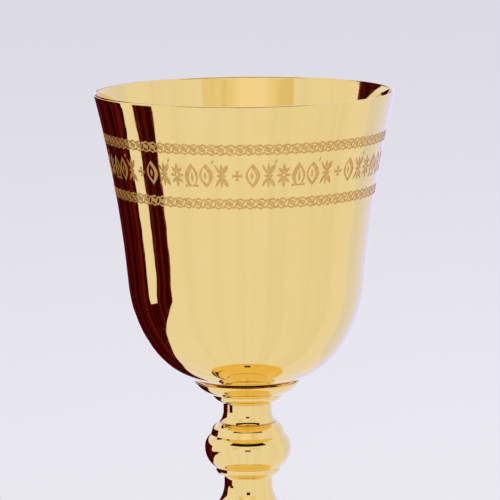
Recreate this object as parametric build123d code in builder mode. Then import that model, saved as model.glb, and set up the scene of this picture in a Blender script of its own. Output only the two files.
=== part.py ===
from build123d import *
import os
from math import acos, asin, cos, degrees, radians, sin

# Communion chalice, 0.5 litre, turned and spun brass, gilded.
# Millimetres. +Z runs up the axis of symmetry and z = 0 is the table the foot stands on.
# The pieces are threaded onto one tie rod: the rod screws into a boss under the bowl and a nut
# inside the foot pulls the whole stack together.

# ---- Overall size ----
TOTAL_HEIGHT = 185.0
RIM_RADIUS = 50.0
FOOT_RADIUS = 44.0

# ---- Bowl: one wall of even thickness that follows three tangent arcs, then a flat bottom ----
BOWL_WALL = 1.0
LIP_LEAN = 14.0         # lean of the wall from the vertical at the lip, degrees
WAIST_LEAN = 5.0        # lean where the flare turns into the belly
SHOULDER_LEAN = 33.6    # lean where the belly turns into the base
FLARE_ARC = 411.0       # mid-wall radii of the arcs in section
BELLY_ARC = 45.2
BASE_ARC = 27.8

# ---- Heights of the joints between the stacked pieces ----
FOOT_SHELL_SEAT = 2.2
STEM_RING_SEAT = 35.5
LOWER_STEM_SEAT = 38.7
KNOP_COLLAR_SEAT = 55.8
KNOP_SEAT = 58.6
UPPER_STEM_SEAT = 73.8
SAUCER_COLLAR_SEAT = 80.3
SAUCER_SEAT = 83.3

# ---- Bore, and the registers that centre each piece on the next ----
ROD_RADIUS = 4.0        # M8
ROD_BORE = 4.25
SPIGOT_RADIUS = 6.0
SPIGOT_HEIGHT = 1.5
SOCKET_RADIUS = 6.1
SOCKET_DEPTH = 1.8
EDGE_BREAK = 0.25
CLAMP_CHAMFER = 0.5

# ---- Boss under the bowl ----
BOSS_FLANGE_RADIUS = 7.8
BOSS_LENGTH = 9.0
BOSS_BLIND_DEPTH = 8.6

# ---- Saucer that cradles the bowl, and the collar below it ----
SAUCER_RIM_RADIUS = 17.75
SAUCER_RIM_HEIGHT = 87.8
SAUCER_LIP = 0.9
SAUCER_FLOOR = 84.9
SAUCER_FLOOR_RADIUS = 12.6
SAUCER_FOOT_RADIUS = 11.95
SAUCER_ARC = 8.5
COLLAR_TOP_RADIUS = 11.75
COLLAR_LAND = 0.9       # height of the upright band above the ovolo
COLLAR_ARC = 4.6

# ---- Necks of the stem ----
UPPER_NECK_RADIUS = 8.15
UPPER_FLARE_ARC = 6.8
UPPER_FLARE_START = 77.6
LOWER_NECK_RADIUS = 8.1
LOWER_FLARE_ARC = 11.5
LOWER_FLARE_START = 52.8
LOWER_FLARE_LEAN = 35.0
LOWER_STEM_BASE = 14.6
LOWER_STEM_EDGE = 1.0   # height of the upright edge where the cone ends
NECK_FILLET = 1.2

# ---- Knop ----
KNOP_RADIUS = 14.55
KNOP_WIDEST = 65.1      # height of the widest circle
KNOP_UPPER_ARC = 5.7
KNOP_LOWER_ARC = 8.3
BELT_RADIUS = 12.4      # belt between the shoulder and the round body
BELT_TOP = 71.7
BELT_TAPER = 0.6        # how much narrower the belt is at its top
SHOULDER_RADIUS = 9.5
SHOULDER_ARC = 5.0
KNOP_COLLAR_RADIUS = 10.8
KNOP_COLLAR_LAND = 1.3
KNOP_COLLAR_FOOT = 8.9
KNOP_COLLAR_ARC = 2.1

# ---- Ring and foot ----
STEM_RING_RADIUS = 16.2
STEM_RING_WAIST = 14.6
SHELL = 1.0
SHELL_TOP_RADIUS = 13.8
SHELL_SWEEP_FOOT = (37.2, 6.8)      # radius and height where the sweep meets the step
SHELL_SWEEP_ARC = 60.0
SHELL_STEP_ARC = 4.0
STEP_RADIUS = 40.0
BRIM_HEIGHT = 3.2
BRIM_EDGE = 42.3
RIM_INNER_RADIUS = 40.7
RIM_LAND = 43.1         # outer radius of the flat that rests on the table

# ---- Fasteners inside the foot ----
CLAMP_RADIUS = 11.5
CLAMP_THICKNESS = 3.0
WASHER_RADIUS = 8.0
WASHER_THICKNESS = 1.6
SPRING_WASHER_RADIUS = 6.8
SPRING_WASHER_THICKNESS = 2.0
SPRING_WASHER_SLIT = 1.0
SLIT_SLOPE = 0.5        # sideways run of the slit for each unit of height
NUT_ACROSS_FLATS = 13.0
NUT_HEIGHT = 6.5
NUT_CORNER_RADIUS = 7.1
NUT_CORNER_CUT = 0.6
ROD_PROTRUSION = 3.4    # below the nut
ROD_CHAMFER = 0.8

# ---- Worked out from the above ----
clamp_top = STEM_RING_SEAT - SHELL
washer_top = clamp_top - CLAMP_THICKNESS
spring_top = washer_top - WASHER_THICKNESS
nut_top = spring_top - SPRING_WASHER_THICKNESS
nut_bottom = nut_top - NUT_HEIGHT
boss_bottom = SAUCER_FLOOR - BOSS_LENGTH
rod_top = boss_bottom + BOSS_BLIND_DEPTH - ROD_CHAMFER
rod_bottom = nut_bottom - ROD_PROTRUSION


def leaning(lean):
    """Unit vectors of a wall that leans outward: down along the wall, and out of its outer face."""
    down = Vector(-sin(radians(lean)), -cos(radians(lean)))
    outward = Vector(cos(radians(lean)), -sin(radians(lean)))
    return down, outward


def bowl_surface(side):
    """Draw one face of the bowl's wall, lip to axis, `side` outside the middle of the wall."""
    down, outward = leaning(LIP_LEAN)
    lip_centre = Vector(RIM_RADIUS - BOWL_WALL / 2, TOTAL_HEIGHT - BOWL_WALL / 2)
    flare = JernArc(lip_centre + outward * side, down, FLARE_ARC - side, LIP_LEAN - WAIST_LEAN)
    belly = JernArc(flare @ 1, flare % 1, BELLY_ARC + side, WAIST_LEAN - SHOULDER_LEAN)
    base = JernArc(belly @ 1, belly % 1, BASE_ARC + side, SHOULDER_LEAN - 90)
    Line(base @ 1, (0, (base @ 1).Y))
    return flare @ 0, (base @ 1).Y


def bore_from(height, radius, depth):
    """Cut a round hole upward from `height` into the part being built."""
    with BuildSketch(Plane.XY.offset(height)) as disc:
        Circle(radius)
    extrude(disc.sketch, amount=depth, mode=Mode.SUBTRACT)


def spigot_on(height):
    """Raise the register that centres the next piece above `height`."""
    with BuildSketch(Plane.XY.offset(height)) as ring:
        Circle(SPIGOT_RADIUS)
        Circle(ROD_BORE, mode=Mode.SUBTRACT)
    extrude(ring.sketch, amount=SPIGOT_HEIGHT)


def ring_block(height, radius, hole, thickness):
    """Build a flat ring whose underside lies at `height`."""
    with BuildSketch(Plane.XY.offset(height)) as ring:
        Circle(radius)
        Circle(hole, mode=Mode.SUBTRACT)
    extrude(ring.sketch, amount=thickness)


# ---- Bowl: spun cup, with a lip rounded to a full half circle ----
with BuildPart() as bowl:
    with BuildSketch(Plane.XZ):
        with BuildLine():
            outer_lip, bowl_bottom = bowl_surface(BOWL_WALL / 2)
            inner_lip, bowl_floor = bowl_surface(-BOWL_WALL / 2)
            down, _ = leaning(LIP_LEAN)
            ThreePointArc(outer_lip, (outer_lip + inner_lip) / 2 - down * (BOWL_WALL / 2), inner_lip)
            Line((0, bowl_bottom), (0, bowl_floor))
        make_face()
    revolve(axis=Axis.Z)

# ---- Boss: soldered to the flat under the bowl, its tube reaches down into the upper stem ----
with BuildPart() as bowl_boss:
    with BuildSketch(Plane.XY.offset(SAUCER_FLOOR)):
        Circle(BOSS_FLANGE_RADIUS)
    extrude(amount=bowl_bottom - SAUCER_FLOOR)
    with BuildSketch(Plane.XY.offset(boss_bottom)):
        Circle(SPIGOT_RADIUS)
    extrude(amount=BOSS_LENGTH)
    bore_from(boss_bottom, ROD_RADIUS, BOSS_BLIND_DEPTH)
    chamfer(bowl_boss.faces().sort_by(Axis.Z)[0].edges(), EDGE_BREAK)

# ---- Saucer: shallow turned cup whose lip stands just clear of the bowl ----
with BuildPart() as saucer:
    with BuildSketch(Plane.XZ):
        with BuildLine():
            Line((SOCKET_RADIUS, SAUCER_SEAT), (SAUCER_FOOT_RADIUS, SAUCER_SEAT))
            RadiusArc((SAUCER_FOOT_RADIUS, SAUCER_SEAT), (SAUCER_RIM_RADIUS, SAUCER_RIM_HEIGHT), -SAUCER_ARC)
            Line((SAUCER_RIM_RADIUS, SAUCER_RIM_HEIGHT), (SAUCER_RIM_RADIUS - SAUCER_LIP, SAUCER_RIM_HEIGHT))
            RadiusArc(
                (SAUCER_RIM_RADIUS - SAUCER_LIP, SAUCER_RIM_HEIGHT),
                (SAUCER_FLOOR_RADIUS, SAUCER_FLOOR),
                SAUCER_ARC,
            )
            Line((SAUCER_FLOOR_RADIUS, SAUCER_FLOOR), (SOCKET_RADIUS, SAUCER_FLOOR))
            Line((SOCKET_RADIUS, SAUCER_FLOOR), (SOCKET_RADIUS, SAUCER_SEAT))
        make_face()
    revolve(axis=Axis.Z)
    fillet(saucer.edges().filter_by(GeomType.CIRCLE).group_by(Axis.Z)[-1], EDGE_BREAK)

# ---- Saucer collar: ovolo moulding under the saucer ----
with BuildPart() as saucer_collar:
    with BuildSketch(Plane.XZ):
        with BuildLine():
            land = SAUCER_SEAT - COLLAR_LAND
            Polyline(
                (UPPER_NECK_RADIUS, SAUCER_COLLAR_SEAT),
                (SOCKET_RADIUS, SAUCER_COLLAR_SEAT),
                (SOCKET_RADIUS, SAUCER_SEAT),
                (COLLAR_TOP_RADIUS, SAUCER_SEAT),
                (COLLAR_TOP_RADIUS - EDGE_BREAK, land),
            )
            RadiusArc(
                (COLLAR_TOP_RADIUS - EDGE_BREAK, land),
                (UPPER_NECK_RADIUS, SAUCER_COLLAR_SEAT),
                COLLAR_ARC,
            )
        make_face()
    revolve(axis=Axis.Z)

# ---- Upper stem: short neck that flares down onto the knop ----
with BuildPart() as upper_stem:
    with BuildSketch(Plane.XZ):
        with BuildLine():
            flare_turn = asin((UPPER_FLARE_START - UPPER_STEM_SEAT) / UPPER_FLARE_ARC)
            neck = Line((UPPER_NECK_RADIUS, SAUCER_COLLAR_SEAT), (UPPER_NECK_RADIUS, UPPER_FLARE_START))
            flare = JernArc(neck @ 1, neck % 1, UPPER_FLARE_ARC, degrees(flare_turn))
            Polyline(
                flare @ 1,
                (SOCKET_RADIUS, UPPER_STEM_SEAT),
                (SOCKET_RADIUS, SAUCER_COLLAR_SEAT),
                (UPPER_NECK_RADIUS, SAUCER_COLLAR_SEAT),
            )
        make_face()
    revolve(axis=Axis.Z)

# ---- Knop: turned grip with a sloping shoulder, a tapered belt and a round body ----
with BuildPart() as knop:
    with BuildSketch(Plane.XZ):
        with BuildLine():
            belt_turn = degrees(acos((BELT_RADIUS - KNOP_RADIUS) / KNOP_UPPER_ARC + 1))
            foot_turn = degrees(asin((KNOP_WIDEST - KNOP_SEAT) / KNOP_LOWER_ARC))
            upper = CenterArc((KNOP_RADIUS - KNOP_UPPER_ARC, KNOP_WIDEST), KNOP_UPPER_ARC, 0, belt_turn)
            lower = CenterArc((KNOP_RADIUS - KNOP_LOWER_ARC, KNOP_WIDEST), KNOP_LOWER_ARC, 0, -foot_turn)
            belt = Line(upper @ 1, (BELT_RADIUS - BELT_TAPER, BELT_TOP))
            RadiusArc(belt @ 1, (SHOULDER_RADIUS, UPPER_STEM_SEAT), -SHOULDER_ARC)
            Polyline(
                (SHOULDER_RADIUS, UPPER_STEM_SEAT),
                (ROD_BORE, UPPER_STEM_SEAT),
                (ROD_BORE, KNOP_SEAT),
                lower @ 1,
            )
        make_face()
    revolve(axis=Axis.Z)
    spigot_on(UPPER_STEM_SEAT)
    bore_from(KNOP_SEAT, SOCKET_RADIUS, SOCKET_DEPTH)

# ---- Knop collar: small ovolo that mirrors the saucer's collar ----
with BuildPart() as knop_collar:
    with BuildSketch(Plane.XZ):
        with BuildLine():
            Polyline(
                (KNOP_COLLAR_FOOT, KNOP_COLLAR_SEAT),
                (ROD_BORE, KNOP_COLLAR_SEAT),
                (ROD_BORE, KNOP_SEAT),
                (KNOP_COLLAR_RADIUS, KNOP_SEAT),
                (KNOP_COLLAR_RADIUS, KNOP_SEAT - KNOP_COLLAR_LAND),
            )
            RadiusArc(
                (KNOP_COLLAR_RADIUS, KNOP_SEAT - KNOP_COLLAR_LAND),
                (KNOP_COLLAR_FOOT, KNOP_COLLAR_SEAT),
                KNOP_COLLAR_ARC,
            )
        make_face()
    revolve(axis=Axis.Z)
    spigot_on(KNOP_SEAT)
    bore_from(KNOP_COLLAR_SEAT, SOCKET_RADIUS, SOCKET_DEPTH)

# ---- Lower stem: neck below the knop that opens into a cone ----
with BuildPart() as lower_stem:
    with BuildSketch(Plane.XZ):
        with BuildLine():
            top = Line((ROD_BORE, KNOP_COLLAR_SEAT), (LOWER_NECK_RADIUS + NECK_FILLET / 2, KNOP_COLLAR_SEAT))
            hollow = Spline(
                top @ 1,
                (LOWER_NECK_RADIUS, KNOP_COLLAR_SEAT - NECK_FILLET),
                tangents=((-1, -1), (0, -1)),
            )
            neck = Line(hollow @ 1, (LOWER_NECK_RADIUS, LOWER_FLARE_START))
            flare = JernArc(neck @ 1, neck % 1, LOWER_FLARE_ARC, LOWER_FLARE_LEAN)
            Polyline(
                flare @ 1,
                (LOWER_STEM_BASE, LOWER_STEM_SEAT + LOWER_STEM_EDGE),
                (LOWER_STEM_BASE, LOWER_STEM_SEAT),
                (ROD_BORE, LOWER_STEM_SEAT),
                top @ 0,
            )
        make_face()
    revolve(axis=Axis.Z)
    spigot_on(KNOP_COLLAR_SEAT)
    bore_from(LOWER_STEM_SEAT, SOCKET_RADIUS, SOCKET_DEPTH)

# ---- Stem ring: half-round astragal between the stem and the foot ----
with BuildPart() as stem_ring:
    with BuildSketch(Plane.XZ):
        with BuildLine():
            edge = Polyline(
                (STEM_RING_WAIST, STEM_RING_SEAT),
                (ROD_BORE, STEM_RING_SEAT),
                (ROD_BORE, LOWER_STEM_SEAT),
                (STEM_RING_WAIST, LOWER_STEM_SEAT),
            )
            middle = (STEM_RING_RADIUS, (STEM_RING_SEAT + LOWER_STEM_SEAT) / 2)
            ThreePointArc(edge @ 1, middle, edge @ 0)
        make_face()
    revolve(axis=Axis.Z)
    spigot_on(LOWER_STEM_SEAT)

# ---- Foot shell: spun sheet, a flat top under the ring, a hollow sweep, a step and a flat brim ----
with BuildPart() as foot_shell:
    with BuildSketch(Plane.XZ):
        with BuildLine():
            crown = Line((ROD_BORE, STEM_RING_SEAT), (SHELL_TOP_RADIUS, STEM_RING_SEAT))
            sweep = RadiusArc(crown @ 1, SHELL_SWEEP_FOOT, -SHELL_SWEEP_ARC)
            step = RadiusArc(sweep @ 1, (STEP_RADIUS, BRIM_HEIGHT), SHELL_STEP_ARC)
            Line(step @ 1, (BRIM_EDGE, BRIM_HEIGHT))
            offset(amount=SHELL, side=Side.RIGHT)
        make_face()
    revolve(axis=Axis.Z)

# ---- Foot rim: heavy ring soldered under the brim, flat where it rests on the table ----
with BuildPart() as foot_rim:
    with BuildSketch(Plane.XZ):
        with BuildLine():
            section = Polyline(
                (RIM_LAND, BRIM_HEIGHT),
                (BRIM_EDGE, BRIM_HEIGHT),
                (BRIM_EDGE, FOOT_SHELL_SEAT),
                (RIM_INNER_RADIUS, FOOT_SHELL_SEAT),
                (RIM_INNER_RADIUS, 0),
                (RIM_LAND, 0),
            )
            ThreePointArc(section @ 1, (FOOT_RADIUS, BRIM_HEIGHT / 2), section @ 0)
        make_face()
    revolve(axis=Axis.Z)

# ---- Clamp plate: spreads the pull of the nut under the crown of the foot ----
with BuildPart() as clamp_plate:
    ring_block(washer_top, CLAMP_RADIUS, ROD_BORE, CLAMP_THICKNESS)
    chamfer(clamp_plate.faces().sort_by(Axis.Z)[0].edges().sort_by(SortBy.RADIUS)[-1], CLAMP_CHAMFER)

# ---- Flat washer ----
with BuildPart() as flat_washer:
    ring_block(spring_top, WASHER_RADIUS, ROD_BORE, WASHER_THICKNESS)

# ---- Spring washer: split with a slanted slit ----
with BuildPart() as spring_washer:
    ring_block(nut_top, SPRING_WASHER_RADIUS, ROD_BORE, SPRING_WASHER_THICKNESS)
    with BuildSketch(Plane.XY.offset(nut_top)):
        with Locations((SPRING_WASHER_RADIUS, 0)):
            Rectangle(SPRING_WASHER_RADIUS, SPRING_WASHER_SLIT)
    extrude(amount=2 * SPRING_WASHER_THICKNESS, dir=(0, SLIT_SLOPE, 1), mode=Mode.SUBTRACT)

# ---- Rod nut: plain hexagon nut with turned corners ----
with BuildPart() as rod_nut:
    with BuildSketch(Plane.XY.offset(nut_bottom)):
        RegularPolygon(NUT_ACROSS_FLATS / 2, 6, major_radius=False)
        Circle(ROD_RADIUS, mode=Mode.SUBTRACT)
    extrude(amount=NUT_HEIGHT)
    with BuildSketch(Plane.XZ):
        with BuildLine():
            Polyline(
                (0, nut_bottom),
                (NUT_CORNER_RADIUS - NUT_CORNER_CUT, nut_bottom),
                (NUT_ACROSS_FLATS / 2 / cos(radians(30)), nut_bottom + NUT_CORNER_CUT),
                (NUT_ACROSS_FLATS / 2 / cos(radians(30)), nut_top - NUT_CORNER_CUT),
                (NUT_CORNER_RADIUS - NUT_CORNER_CUT, nut_top),
                (0, nut_top),
                close=True,
            )
        make_face()
    revolve(axis=Axis.Z, mode=Mode.INTERSECT)

# ---- Tie rod: M8 studding from the boss to the nut ----
with BuildPart() as tie_rod:
    with BuildSketch(Plane.XY.offset(rod_bottom)):
        Circle(ROD_RADIUS)
    extrude(amount=rod_top - rod_bottom)
    chamfer(tie_rod.edges().filter_by(GeomType.CIRCLE), ROD_CHAMFER)

pieces = {
    "bowl": bowl,
    "bowl_boss": bowl_boss,
    "saucer": saucer,
    "saucer_collar": saucer_collar,
    "upper_stem": upper_stem,
    "knop": knop,
    "knop_collar": knop_collar,
    "lower_stem": lower_stem,
    "stem_ring": stem_ring,
    "foot_shell": foot_shell,
    "foot_rim": foot_rim,
    "clamp_plate": clamp_plate,
    "flat_washer": flat_washer,
    "spring_washer": spring_washer,
    "rod_nut": rod_nut,
    "tie_rod": tie_rod,
}

os.makedirs("parts", exist_ok=True)
for name, piece in pieces.items():
    piece.part.label = name
    export_step(piece.part, f"parts/{name}.step")
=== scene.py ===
from collections import namedtuple
from math import asin, cos, hypot, pi, radians, sin

import bmesh
import bpy
from mathutils import Euler, Matrix, Vector
from mathutils.geometry import delaunay_2d_cdt


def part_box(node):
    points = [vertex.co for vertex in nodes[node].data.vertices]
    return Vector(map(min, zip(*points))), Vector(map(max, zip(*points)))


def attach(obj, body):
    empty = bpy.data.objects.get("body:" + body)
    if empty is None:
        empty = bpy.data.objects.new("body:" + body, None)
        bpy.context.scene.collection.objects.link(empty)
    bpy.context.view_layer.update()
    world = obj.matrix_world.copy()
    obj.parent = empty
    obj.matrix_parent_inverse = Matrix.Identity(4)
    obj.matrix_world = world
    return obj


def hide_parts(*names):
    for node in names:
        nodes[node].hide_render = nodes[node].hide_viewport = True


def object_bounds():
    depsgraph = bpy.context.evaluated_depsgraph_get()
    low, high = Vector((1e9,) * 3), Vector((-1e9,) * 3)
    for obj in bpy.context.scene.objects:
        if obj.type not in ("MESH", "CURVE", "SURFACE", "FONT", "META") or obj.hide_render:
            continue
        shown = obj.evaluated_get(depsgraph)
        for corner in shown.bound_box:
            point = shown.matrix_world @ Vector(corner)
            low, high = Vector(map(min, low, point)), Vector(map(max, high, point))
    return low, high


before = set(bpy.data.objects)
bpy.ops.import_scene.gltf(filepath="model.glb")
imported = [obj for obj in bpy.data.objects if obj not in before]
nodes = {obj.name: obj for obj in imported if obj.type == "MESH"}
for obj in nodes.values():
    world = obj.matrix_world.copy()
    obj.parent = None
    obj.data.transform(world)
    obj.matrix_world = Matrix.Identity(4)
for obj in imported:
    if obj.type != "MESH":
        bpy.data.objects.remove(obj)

cad_low, cad_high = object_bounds()
scene = bpy.context.scene
MM = 0.001

# ======== The bowl's profile, in millimetres above the table ========
TOP = cad_high.z / MM
RIM_RADIUS = cad_high.x / MM
WALL = 1.0
LIP_LEAN = radians(14)
WAIST_LEAN = radians(5)
SHOULDER_LEAN = radians(33.6)
FLARE_ARC = 411.0       # radius of the middle of the wall, from the lip to the waist
BELLY_ARC = 45.2        # from the waist to the shoulder
BASE_ARC = 27.8         # from the shoulder to the flat under the bowl

SEGMENTS = 480          # round the bowl
FLARE_STEP = 2.0        # height between rings on the flare
BELLY_RINGS = 40
BASE_RINGS = 44
FLOOR_RINGS = 5
LIP_RINGS = 16
OUTSIDE = 1
INSIDE = -1

half_wall = WALL / 2
lip_r = RIM_RADIUS - half_wall
lip_z = TOP - half_wall
flare_r = lip_r + FLARE_ARC * cos(LIP_LEAN)
flare_z = lip_z - FLARE_ARC * sin(LIP_LEAN)


def flare_point(z, side=OUTSIDE, depth=0.0):
    """Radius and lean of one face of the wall at a height on the flare, sunk by depth."""
    radius = FLARE_ARC - side * half_wall
    lean = asin((z - flare_z) / radius)
    return flare_r - (radius + depth) * cos(lean), lean


def heights(top, bottom):
    count = max(1, round((top - bottom) / FLARE_STEP))
    return [top + (bottom - top) * i / count for i in range(count + 1)]


def flare_profile(top, bottom, side=OUTSIDE):
    return [(flare_point(z, side)[0], z) for z in heights(top, bottom)]


def flare_height(lean, side):
    """Height at which one face of the flare leans by this much."""
    return flare_z + (FLARE_ARC - side * half_wall) * sin(lean)


def wall_profile(side, top):
    """One face of the wall from a height on the flare down to the axis."""
    offset = side * half_wall
    z = flare_height(WAIST_LEAN, side)
    points = flare_profile(top, z, side)[:-1]
    r = flare_point(z, side)[0]
    arcs = (
        (BELLY_ARC + offset, WAIST_LEAN, SHOULDER_LEAN, BELLY_RINGS),
        (BASE_ARC + offset, SHOULDER_LEAN, pi / 2, BASE_RINGS),
    )
    for radius, start, end, rings in arcs:
        centre_r = r - radius * cos(start)
        centre_z = z + radius * sin(start)
        for i in range(rings + 1):
            lean = start + (end - start) * i / rings
            points.append((centre_r + radius * cos(lean), centre_z - radius * sin(lean)))
        r, z = points.pop()
    for i in range(FLOOR_RINGS + 1):
        points.append((r * (1 - i / FLOOR_RINGS), z))
    return points


def lip_profile():
    """The half circle over the lip, from the outer face to the inner one."""
    angles = [-LIP_LEAN + pi * i / LIP_RINGS for i in range(LIP_RINGS + 1)]
    return [(lip_r + half_wall * cos(a), lip_z + half_wall * sin(a)) for a in angles]


# ======== Ornament: outlines in unrolled millimetres, u round the bowl and v upwards ========
# Each shape is an outline and True where it is engraved. A later shape lies over the earlier ones.
def leaf(u, v, length, width, angle, steps=12):
    """A pointed oval: two bowed sides that meet in tips."""
    points = []
    for side in (1, -1):
        for i in range(steps):
            t = side * (1 - 2 * i / steps)
            points.append((t * length / 2, side * width / 2 * cos(t * pi / 2)))
    c, s = cos(angle), sin(angle)
    return [(u + x * c - y * s, v + x * s + y * c) for x, y in points]


def oval(u, v, half_width, half_height, lean=0.0, steps=28):
    points = []
    for i in range(steps):
        a = 2 * pi * i / steps
        points.append((u + half_width * cos(a) + lean * half_height * sin(a), v + half_height * sin(a)))
    return points


def crescent(u, v, radius, middle, span, width, steps=9):
    """A leaf bent round (u, v), with rounded ends."""
    points = []
    for side in (1, -1):
        for i in range(steps):
            t = side * (1 - 2 * i / steps)
            a = middle + t * span / 2
            r = radius + side * width / 2 * (1 - t * t) ** 0.5
            points.append((u + r * cos(a), v + r * sin(a)))
    return points


def upright(u, v, height, waist, foot, steps=8):
    """A stroke with flared ends, as a graver cuts it."""
    points = []
    for side in (1, -1):
        for i in range(steps + 1):
            t = side * (1 - 2 * i / steps)
            half = waist / 2 + (foot - waist) / 2 * t ** 6
            points.append((u + side * half, v + t * height / 2))
    return points


def level(u, v, length, waist, foot):
    """The same stroke laid flat."""
    return [(u + y, v + x) for x, y in upright(0, 0, length, waist, foot)]


def chain_link(start, pitch):
    """One link: a ring with a dot in it, tied to the next link by a split diagonal stroke."""
    u = start + pitch / 2
    tie_u = u + pitch / 2
    right = [(-0.75, -1.55), (0.15, -1.5), (0.7, -0.45), (1.1, 0.55)]
    left = [(-x, -y) for x, y in right]
    return [
        ([(tie_u + x, y) for x, y in right + left], True),
        (oval(u, 0, 1.42, 1.86, 0.1), True),
        (crescent(u + 0.08, 0.12, 0.9, radians(66), radians(112), 0.52), False),
        (crescent(u - 0.08, -0.12, 0.9, radians(246), radians(112), 0.52), False),
        (leaf(tie_u, 0, 2.5, 0.86, radians(56)), False),
    ]


def cross(u):
    return [(upright(u, 0, 3.1, 0.62, 1.5), True), (level(u, 0, 3.1, 0.62, 1.5), True)]


def mandorla(u):
    """A pointed oval with a stout side, a fine side and a bud in the middle."""
    opening = u - 0.32
    return [
        (leaf(u, 0, 8.0, 4.7, pi / 2, 20), True),
        (leaf(opening, 0, 5.7, 2.5, pi / 2 + 0.14, 20), False),
        (leaf(opening, 0, 2.8, 0.85, pi / 2), True),
    ]


def sheaf(u):
    """Three leaves up and three down, tied by a band at the waist."""
    spread = 0.52
    shapes = [(leaf(u, side * 2.05, 4.1, 0.95, pi / 2), True) for side in (-1, 1)]
    for side in (-1, 1):
        turn = pi / 2 + side * spread
        shapes.append((leaf(u - side * 1.15, 2.0, 4.1, 1.15 - side * 0.3, turn), True))
        shapes.append((leaf(u + side * 1.15, -2.0, 4.1, 1.15 + side * 0.3, turn), True))
    shapes.append((oval(u, 0, 1.5, 0.5), True))
    return shapes


def rosette(u):
    """Eight petals round an open eye, taller than it is wide."""
    shapes = []
    for i in range(8):
        a = pi * i / 4
        tall = 1.0 + 0.5 * abs(sin(a))
        shapes.append((leaf(u + 1.35 * cos(a), 1.6 * tall * sin(a), 2.1 * tall, 1.05, a), True))
    shapes.append((oval(u, 0, 0.95, 0.95), True))
    shapes.append((oval(u, 0, 0.45, 0.45), False))
    return shapes


def lancet(u):
    """A pointed arch with a stout and a fine side over a leaf, on a flared step."""
    below_arch = [(u - 2.4, -3.5), (u - 2.4, -5.2), (u + 2.4, -5.2), (u + 2.4, -3.5)]
    return [
        (leaf(u, -0.4, 8.8, 4.6, pi / 2, 20), True),
        (leaf(u + 0.3, -0.9, 6.6, 2.5, pi / 2 - 0.06, 20), False),
        (leaf(u + 0.25, -0.6, 3.8, 0.85, pi / 2), True),
        (below_arch, False),
        (level(u, -3.4, 4.6, 0.5, 1.05), True),
    ]


FIGURES = (mandorla, sheaf, rosette, lancet, mandorla, sheaf)
DROPPED_FIGURES = (1, 4)    # the figures with a small drop over their right shoulder
DROP_HEIGHT = 4.6


def frieze_run(start, run):
    """One repeat of the middle band: the figures, their drops and a cross."""
    step = run / (len(FIGURES) + 1)
    shapes = []
    for i, figure in enumerate(FIGURES):
        shapes += figure(start + step * (i + 0.5))
    shapes += cross(start + step * (len(FIGURES) + 0.5))
    for i in DROPPED_FIGURES:
        shapes.append((leaf(start + step * (i + 0.95), DROP_HEIGHT, 1.7, 0.62, radians(68)), True))
    return shapes


# ======== Engraving the bands into the wall ========
Band = namedtuple("Band", "middle half repeats columns rows ornament")
BANDS = (
    Band(170.73, 2.1, 96, 5, 7, chain_link),
    Band(162.15, 5.9, 8, 60, 14, frieze_run),
    Band(152.9, 2.1, 80, 6, 7, chain_link),
)
ENGRAVING_DEPTH = 0.11
GROUND, CUT, EDGE = 0, 1, 2     # kinds of face
SNAP = 1e-5                     # points of the outlines closer than this are one point
WELD = 2e-6                     # the same for the vertices of the whole bowl, in metres


def border(pitch, half, columns, rows):
    """Points round one repeat, spaced so that it meets its neighbours and the plain wall."""
    points = [(pitch * i / columns, -half) for i in range(columns)]
    points += [(pitch, half * (2 * i / rows - 1)) for i in range(rows)]
    points += [(pitch * (1 - i / columns), half) for i in range(columns)]
    points += [(0.0, half * (1 - 2 * i / rows)) for i in range(rows)]
    return points


def reaches(outline, pitch):
    """Whether any of an outline lies in one repeat, or within a hair of it."""
    slack = 0.01
    return max(u for u, _ in outline) >= -slack and min(u for u, _ in outline) <= pitch + slack


def tile(band, pitch):
    """Triangulates one repeat of a band: points, and triangles with True where they are engraved."""
    points = [Vector(p) for p in border(pitch, band.half, band.columns, band.rows)]
    faces = [list(range(len(points)))]
    engraved = [False]
    for start in (-pitch, 0.0, pitch):
        for outline, cut in band.ornament(start, pitch):
            if not reaches(outline, pitch):
                continue
            corners = list(range(len(points), len(points) + len(outline)))
            twice_area = sum(a[0] * b[1] - b[0] * a[1] for a, b in zip(outline, outline[1:] + outline[:1]))
            faces.append(corners if twice_area > 0 else corners[::-1])
            points += [Vector(p) for p in outline]
            engraved.append(cut)
    for i in range(1, band.columns):
        for j in range(1, band.rows):
            points.append(Vector((pitch * i / band.columns, band.half * (2 * j / band.rows - 1))))
    points, _, triangles, _, _, origins = delaunay_2d_cdt(points, [], faces, 0, SNAP, True)
    kept = [(tri, engraved[max(origin)]) for tri, origin in zip(triangles, origins) if 0 in origin]
    return points, kept


def cut_walls(triangles):
    """Edges that have engraved ground on their left and plain wall on their right."""
    left_of = {}
    for tri, cut in triangles:
        for a, b in zip(tri, tri[1:] + tri[:1]):
            left_of[a, b] = cut
    return [(a, b) for (a, b), cut in left_of.items() if cut and left_of.get((b, a)) is False]


def round_axis(r, angle, z):
    """A place in metres; angles start at the front and run to the right."""
    return r * sin(angle) * MM, -r * cos(angle) * MM, z * MM


def add_band(mesh, kind, band):
    """Wraps the band's repeats round the bowl, its engraved triangles sunk and walled in."""
    r_mid = flare_point(band.middle)[0]
    pitch = 2 * pi * r_mid / band.repeats
    points, triangles = tile(band, pitch)
    walls = cut_walls(triangles)
    for repeat in range(band.repeats):
        made = {}

        def vertex(index, depth):
            if (index, depth) not in made:
                u, v = points[index]
                z = band.middle + v
                place = round_axis(flare_point(z, OUTSIDE, depth)[0], (u + repeat * pitch) / r_mid, z)
                made[index, depth] = mesh.verts.new(place)
            return made[index, depth]

        for tri, cut in triangles:
            face = mesh.faces.new([vertex(i, ENGRAVING_DEPTH if cut else 0.0) for i in tri])
            face[kind] = CUT if cut else GROUND
        for a, b in walls:
            corners = [vertex(b, ENGRAVING_DEPTH), vertex(a, ENGRAVING_DEPTH), vertex(a, 0.0), vertex(b, 0.0)]
            mesh.faces.new(corners)[kind] = EDGE


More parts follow.
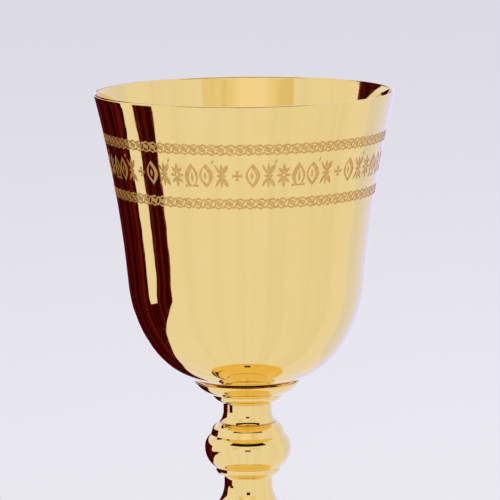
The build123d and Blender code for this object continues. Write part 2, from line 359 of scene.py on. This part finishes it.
def add_rings(mesh, profile):
    """A turned surface through the profile's points; a point on the axis becomes one vertex."""
    rings = []
    for r, z in profile:
        count = SEGMENTS if r > 0 else 1
        ring = [mesh.verts.new(round_axis(r, 2 * pi * i / SEGMENTS, z)) for i in range(count)]
        rings.append(ring)
    for upper, lower in zip(rings, rings[1:]):
        for i in range(SEGMENTS):
            j = (i + 1) % SEGMENTS
            above = [upper[i % len(upper)], upper[j % len(upper)]]
            below = [lower[i % len(lower)], lower[j % len(lower)]]
            corners = [above[0], *below, above[1]]
            mesh.faces.new(list(dict.fromkeys(corners)))


def engraved_bowl():
    """The whole closed surface of the bowl: wall, bands, lip and inside."""
    mesh = bmesh.new()
    kind = mesh.faces.layers.int.new("kind")
    lip = lip_profile()
    tops = [lip[0][1]] + [band.middle - band.half for band in BANDS[:-1]]
    for top, band in zip(tops, BANDS):
        add_rings(mesh, flare_profile(top, band.middle + band.half))
    add_rings(mesh, wall_profile(OUTSIDE, BANDS[-1].middle - BANDS[-1].half))
    add_rings(mesh, lip[::-1])
    add_rings(mesh, wall_profile(INSIDE, lip[-1][1])[::-1])
    for band in BANDS:
        add_band(mesh, kind, band)
    bmesh.ops.remove_doubles(mesh, verts=mesh.verts, dist=WELD)
    bmesh.ops.recalc_face_normals(mesh, faces=mesh.faces)
    data = bpy.data.meshes.new("engraved_bowl")
    mesh.to_mesh(data)
    mesh.free()
    return data


def finish_bowl(data):
    """Smooth shading from the true profile round the bands, and crisp engraved edges."""
    margin = 1.0
    low = BANDS[-1].middle - BANDS[-1].half - margin
    high = BANDS[0].middle + BANDS[0].half + margin
    kinds = [item.value for item in data.attributes["kind"].data]
    normals = [Vector((0, 0, 0))] * len(data.loops)
    edge_kinds = {}
    for face in data.polygons:
        face.use_smooth = True
        face.material_index = 0 if kinds[face.index] == GROUND else 1
        for key in face.edge_keys:
            edge_kinds.setdefault(key, set()).add(kinds[face.index])
        if kinds[face.index] == EDGE:
            for loop in face.loop_indices:
                normals[loop] = face.normal.copy()
            continue
        x, y, z = face.center / MM
        if not low < z < high or hypot(x, y) < flare_point(z)[0] - half_wall:
            continue
        for loop in face.loop_indices:
            x, y, z = data.vertices[data.loops[loop].vertex_index].co / MM
            lean = flare_point(z)[1]
            reach = hypot(x, y)
            normals[loop] = Vector((x / reach * cos(lean), y / reach * cos(lean), -sin(lean)))
    sharp = data.attributes.new("sharp_edge", "BOOLEAN", "EDGE")
    for edge in data.edges:
        sharp.data[edge.index].value = len(edge_kinds[tuple(sorted(edge.vertices))]) > 1
    data.normals_split_custom_set(normals)


# ======== Camera ========
LENS = 271.4
SENSOR = 36.0
CAMERA_DISTANCE = 1.245
CAMERA_ABOVE_RIM = 0.1264
PITCH = 8.215
YAW = 0.064
ROLL = -0.6


def add_camera():
    data = bpy.data.cameras.new("camera")
    data.lens = LENS
    data.sensor_width = SENSOR
    camera = bpy.data.objects.new("camera", data)
    scene.collection.objects.link(camera)
    camera.location = (0, -CAMERA_DISTANCE, cad_high.z + CAMERA_ABOVE_RIM)
    facing = Euler((radians(90 - PITCH), 0, -radians(YAW))).to_matrix()
    roll = Matrix.Rotation(radians(ROLL), 3, "Z")
    camera.rotation_euler = (facing @ roll).to_euler()
    scene.camera = camera


# ======== Materials ========
class Nodes:
    """A thin helper that adds shader nodes and links them in one call."""

    def __init__(self, name):
        self.material = bpy.data.materials.new(name)
        self.material.use_nodes = True
        self.tree = self.material.node_tree
        self.shader = self.tree.nodes["Principled BSDF"]
        self.place = self.add("ShaderNodeTexCoord").outputs["Object"]

    def add(self, kind, inputs=None, **settings):
        node = self.tree.nodes.new(kind)
        for key, value in settings.items():
            setattr(node, key, value)
        for key, value in (inputs or {}).items():
            if isinstance(value, bpy.types.NodeSocket):
                self.tree.links.new(value, node.inputs[key])
            else:
                node.inputs[key].default_value = value
        return node

    def stretched(self, scale, turn=(0, 0, 0)):
        inputs = {"Vector": self.place, "Scale": scale, "Rotation": turn}
        return self.add("ShaderNodeMapping", inputs).outputs["Vector"]

    def noise(self, vector, scale, detail=2.0, roughness=0.5):
        inputs = {"Vector": vector, "Scale": scale, "Detail": detail, "Roughness": roughness}
        return self.add("ShaderNodeTexNoise", inputs).outputs["Fac"]

    def span(self, value, low, high, new_low, new_high):
        inputs = {"Value": value, "From Min": low, "From Max": high, "To Min": new_low, "To Max": new_high}
        return self.add("ShaderNodeMapRange", inputs).outputs["Result"]

    def math(self, operation, a, b):
        return self.add("ShaderNodeMath", {0: a, 1: b}, operation=operation).outputs[0]

    def mix(self, factor, a, b):
        inputs = {"Factor": factor, "A": a, "B": b}
        return self.add("ShaderNodeMix", inputs, data_type="RGBA").outputs["Result"]

    def bump(self, height, distance, strength=1.0, under=None):
        inputs = {"Height": height, "Distance": distance, "Strength": strength}
        if under:
            inputs["Normal"] = under
        return self.add("ShaderNodeBump", inputs).outputs["Normal"]

    def scratches(self, turn, scale):
        """Hairlines: the crests of a noise drawn out along one direction."""
        fibres = self.noise(self.stretched((scale, scale * 0.02, scale * 0.02), turn), 1.0, 3.0, 0.6)
        return self.span(fibres, 0.70, 0.78, 0.0, 1.0)

    def metal(self, color, roughness, normal):
        self.shader.inputs["Metallic"].default_value = 1.0
        self.tree.links.new(color, self.shader.inputs["Base Color"])
        self.tree.links.new(roughness, self.shader.inputs["Roughness"])
        self.tree.links.new(normal, self.shader.inputs["Normal"])
        return self.material


GOLD = (1.0, 0.715, 0.195, 1)
GOLD_DEEP = (0.98, 0.685, 0.165, 1)
# A brown for the seam lines: partly tarnish, partly painted shade.
GOLD_SEAM_TARNISH_AND_SHADE = (0.42, 0.22, 0.06, 1)
GOLD_MATT = (0.84, 0.52, 0.125, 1)
GOLD_MATT_DARK = (0.64, 0.375, 0.068, 1)
BRASS = (0.80, 0.56, 0.26, 1)
BRASS_DULL = (0.42, 0.27, 0.11, 1)
ZINC = (0.62, 0.64, 0.66, 1)
ZINC_DULL = (0.36, 0.38, 0.40, 1)
SEAM_NODES = ("saucer", "saucer_collar", "upper_stem", "knop", "knop_collar", "lower_stem", "stem_ring")
SEAM_CORE = 0.00003
SEAM_REACH = 0.00022


def polished_gold(name, wave, turning, tarnish_and_shade_seams=()):
    """Hand-polished gilding: long waves, wiping haze, hairlines, and a darker line in each seam, partly
    tarnish and partly painted shade.
    """
    n = Nodes(name)
    tone = n.span(n.noise(n.place, 38.0, 3.0), 0.35, 0.7, 0.0, 0.55)
    color = n.mix(tone, GOLD, GOLD_DEEP)
    height = n.add("ShaderNodeSeparateXYZ", {"Vector": n.place}).outputs["Z"]
    # Each seam gets a thin brown line in the colour: partly tarnish in the joint, partly painted shade where
    # the parts meet.
    for seam in tarnish_and_shade_seams:
        off = n.math("ABSOLUTE", n.math("SUBTRACT", height, seam), 0.0)
        line = n.span(off, SEAM_CORE, SEAM_REACH, 0.7, 0.0)
        color = n.mix(line, color, GOLD_SEAM_TARNISH_AND_SHADE)
    haze = n.span(n.noise(n.stretched((60, 60, 160)), 1.0, 5.0, 0.6), 0.42, 0.75, 0.028, 0.085)
    hair = n.math("MAXIMUM", n.scratches((0.3, 0.9, 0.2), 900.0), n.scratches((1.1, -0.4, 0.8), 1300.0))
    rough = n.math("ADD", haze, n.math("MULTIPLY", hair, 0.07))
    long_waves = n.bump(n.noise(n.place, 38.0, 2.5, 0.45), wave)
    lathe = n.noise(n.stretched((6.0, 6.0, 3200.0)), 1.0, 2.0)
    turned = n.bump(lathe, turning, 1.0, long_waves)
    scored = n.bump(hair, -0.000002, 1.0, turned)
    return n.metal(color, rough, scored)


def cut_gold(name):
    """Engraved ground: fine crossed tool strokes left matt."""
    n = Nodes(name)
    tone = n.span(n.noise(n.place, 900.0, 4.0, 0.6), 0.3, 0.7, 0.0, 1.0)
    strokes = n.noise(n.stretched((900, 900, 5200), (0.35, 0.0, 0.0)), 1.0, 3.0)
    grain = n.noise(n.place, 6500.0, 2.0)
    rough = n.span(grain, 0.3, 0.7, 0.34, 0.52)
    stroked = n.bump(strokes, 0.00004, 0.7)
    return n.metal(n.mix(tone, GOLD_MATT, GOLD_MATT_DARK), rough, n.bump(grain, 0.00002, 0.7, stroked))


def plain_metal(name, bright, dull, roughness, lathe_scale):
    """Unpolished metal with turning lines and dull patches."""
    n = Nodes(name)
    patches = n.span(n.noise(n.place, 160.0, 5.0, 0.6), 0.4, 0.68, 0.0, 0.8)
    lathe = n.noise(n.stretched((8.0, 8.0, lathe_scale)), 1.0, 3.0)
    rough = n.span(patches, 0.0, 1.0, roughness, roughness + 0.2)
    return n.metal(n.mix(patches, bright, dull), rough, n.bump(lathe, 0.00003, 0.8))


# The heights where parts meet, each drawn as a dark line on the stem gold: partly tarnish, partly painted
# shade.
tarnish_and_shade_seams = [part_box(name)[0].z for name in SEAM_NODES]
bowl_gold = polished_gold("bowl_gold", 0.0004, 0.0000002)
stem_gold = polished_gold("stem_gold", 0.00005, 0.0000006, tarnish_and_shade_seams)
engraved_gold = cut_gold("engraved_gold")
bare_brass = plain_metal("bare_brass", BRASS, BRASS_DULL, 0.22, 2600.0)
zinc_steel = plain_metal("zinc_steel", ZINC, ZINC_DULL, 0.30, 1800.0)

# ======== The pieces: CAD nodes get materials, and the engraved bowl takes the plain one's place ========
slot_materials = {"gilded_brass": stem_gold, "bare_brass": bare_brass, "zinc_steel": zinc_steel}
for node in nodes.values():
    slot_name = node.material_slots[0].material.name.split(".")[0]
    for socket in node.material_slots:
        socket.material = slot_materials[slot_name]

bowl_data = engraved_bowl()
finish_bowl(bowl_data)
bowl_data.materials.append(bowl_gold)
bowl_data.materials.append(engraved_gold)
bowl = bpy.data.objects.new("bowl_engraved", bowl_data)
scene.collection.objects.link(bowl)
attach(bowl, "root")
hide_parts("bowl")


# ======== Stage: a pale floor, soft light, and glowing cards that only reflections see ========
def add_floor(radius, color):
    mat = bpy.data.materials.new("floor")
    mat.use_nodes = True
    shader = mat.node_tree.nodes["Principled BSDF"]
    shader.inputs["Base Color"].default_value = color
    shader.inputs["Roughness"].default_value = 1.0
    shader.inputs["Specular IOR Level"].default_value = 0.0
    bpy.ops.mesh.primitive_circle_add(vertices=96, radius=radius, fill_type="NGON", location=(0, 0, 0))
    floor = bpy.context.object
    floor.name = "floor"
    floor.data.materials.append(mat)


def card_material(name, dark, light, folds):
    """An even glow with soft folds that fan out from the chalice; a card needs no lamp of its own."""
    n = Nodes(name)
    n.tree.nodes.remove(n.shader)
    flat = n.add("ShaderNodeVectorMath", {0: n.place, 1: (1.0, 1.0, 0.0)}, operation="MULTIPLY")
    bearing = n.add("ShaderNodeVectorMath", {0: flat.outputs[0]}, operation="NORMALIZE")
    fold = n.span(n.noise(bearing.outputs[0], folds, 3.0), 0.46, 0.70, 0.0, 1.0)
    glow = n.add("ShaderNodeEmission", {"Color": n.mix(fold, (*dark, 1), (*light, 1))})
    n.tree.links.new(glow.outputs["Emission"], n.tree.nodes["Material Output"].inputs["Surface"])
    return n.material


def add_card(name, mat, rows, end):
    """A sheet swept round the chalice through rows of (radius, height, start).

    Angles are in degrees, from the camera's side towards -X.
    """
    steps = 72
    verts = []
    faces = []
    for i in range(steps + 1):
        for r, z, start in rows:
            a = radians(start + (end - start) * i / steps)
            verts.append((-r * sin(a), -r * cos(a), z))
        if i:
            for j in range(len(rows) - 1):
                k = len(rows) * i + j
                faces.append((k - len(rows), k, k + 1, k + 1 - len(rows)))
    data = bpy.data.meshes.new(name)
    data.from_pydata(verts, [], faces)
    data.materials.append(mat)
    card = bpy.data.objects.new(name, data)
    scene.collection.objects.link(card)
    card.visible_camera = False
    card.visible_diffuse = False
    card.visible_shadow = False
    card.visible_transmission = False
    card.visible_volume_scatter = False


def lay_card(name, mat, lift, rows, end):
    """A card flat on the table, its rows (radius, start)."""
    add_card(name, mat, [(r, lift, start) for r, start in rows], end)


def stand_card(name, mat, radius, low, high, start, end):
    """An upright card, bent round the chalice."""
    add_card(name, mat, [(radius, low, start), (radius, high, start)], end)


def add_cards():
    burgundy = card_material("burgundy", (0.02, 0.0004, 0.0), (0.15, 0.008, 0.006), 16.0)
    shade = card_material("shade", (0.012, 0.008, 0.003), (0.03, 0.015, 0.008), 6.0)
    cloud = card_material("cloud", (0.83, 0.89, 1.46), (0.78, 0.835, 1.34), 3.0)
    amber = card_material("amber", (0.74, 0.70, 0.74), (0.84, 0.82, 1.06), 3.0)
    cool = card_material("cool", (0.76, 0.84, 1.54), (0.71, 0.79, 1.44), 4.0)

    # The drape: a cloth on the table with a pale gap in it, rising behind and again above the rim
    cloth_lift = 0.001
    inner, outer = 0.36, 0.53
    lay_card("cloth_near", burgundy, cloth_lift, [(0.10, 124), (0.17, 98), (inner, 75.5)], 160)
    lay_card("cloth_left", burgundy, cloth_lift, [(inner, 75.5), (outer, 75)], 95)
    lay_card("cloth_back", burgundy, cloth_lift, [(inner, 107), (outer, 109)], 162)
    stand_card("drape_back", burgundy, outer, 0.0, 0.145, 109.5, 166)
    stand_card("drape_above", burgundy, 0.20, 0.21, 0.34, 117, 174)

    # The dark gap over the camera and the person behind it: the short black bars on the stem
    stand_card("canopy_gap", shade, 0.5, 0.47, 0.92, -60, 60)
    stand_card("photographer", shade, 1.2, 0.20, 0.40, -8, 8)

    # The warm far wall with a window in it that brightens inwards: the tones inside the rim
    wall_low, wall_high, wall_reach = 0.55, 0.88, 1.4
    stand_card("far_wall", amber, wall_reach, wall_low, wall_high, -36, 44)
    for i in range(5):
        glow = 0.78 + 0.03 * i
        edge = (glow, glow * 0.98, glow * (1.10 + 0.09 * i))
        window = card_material(f"window_{i}", edge, (glow, glow, glow * 1.2), 3.0)
        reach = wall_reach - 0.01 * (i + 1)
        stand_card(f"window_{i}", window, reach, wall_low, wall_high, -16 + 3 * i, 30 - 3 * i)

    # The pale room, with a cooler part behind on the right
    lay_card("table_cloud", cloud, 0.0006, [(0.046, -180), (1.6, -180)], 180)
    dome = [(1.6, 0.0), (1.6, 1.4), (1.1, 2.1), (0.01, 2.3)]
    add_card("sky", cloud, [(r, z, -180) for r, z in dome], 180)
    lay_card("table_cool", cool, 0.0009, [(0.13, -175), (1.5, -175)], -112)
    stand_card("wall_cool", cool, 1.5, 0.0, 1.0, -175, -112)


def add_light(name, place, target, size, power):
    """A soft square lamp that casts light but is not seen in the metal."""
    data = bpy.data.lights.new(name, "AREA")
    data.size = size
    data.energy = power
    light = bpy.data.objects.new(name, data)
    scene.collection.objects.link(light)
    light.location = place
    light.rotation_euler = (Vector(target) - Vector(place)).to_track_quat("-Z", "Y").to_euler()
    light.visible_glossy = False


def add_world(color, strength):
    world = bpy.data.worlds.new("studio")
    world.use_nodes = True
    background = world.node_tree.nodes["Background"]
    background.inputs["Color"].default_value = color
    background.inputs["Strength"].default_value = strength
    scene.world = world


add_floor(8.0, (0.83, 0.81, 0.77, 1))
add_cards()
add_light("key", (0.9, -0.7, 1.5), (0, 0, 0.08), 1.3, 9.0)
add_world((0.88, 0.89, 1.03, 1), 0.96)
scene.view_settings.view_transform = "Standard"
add_camera()
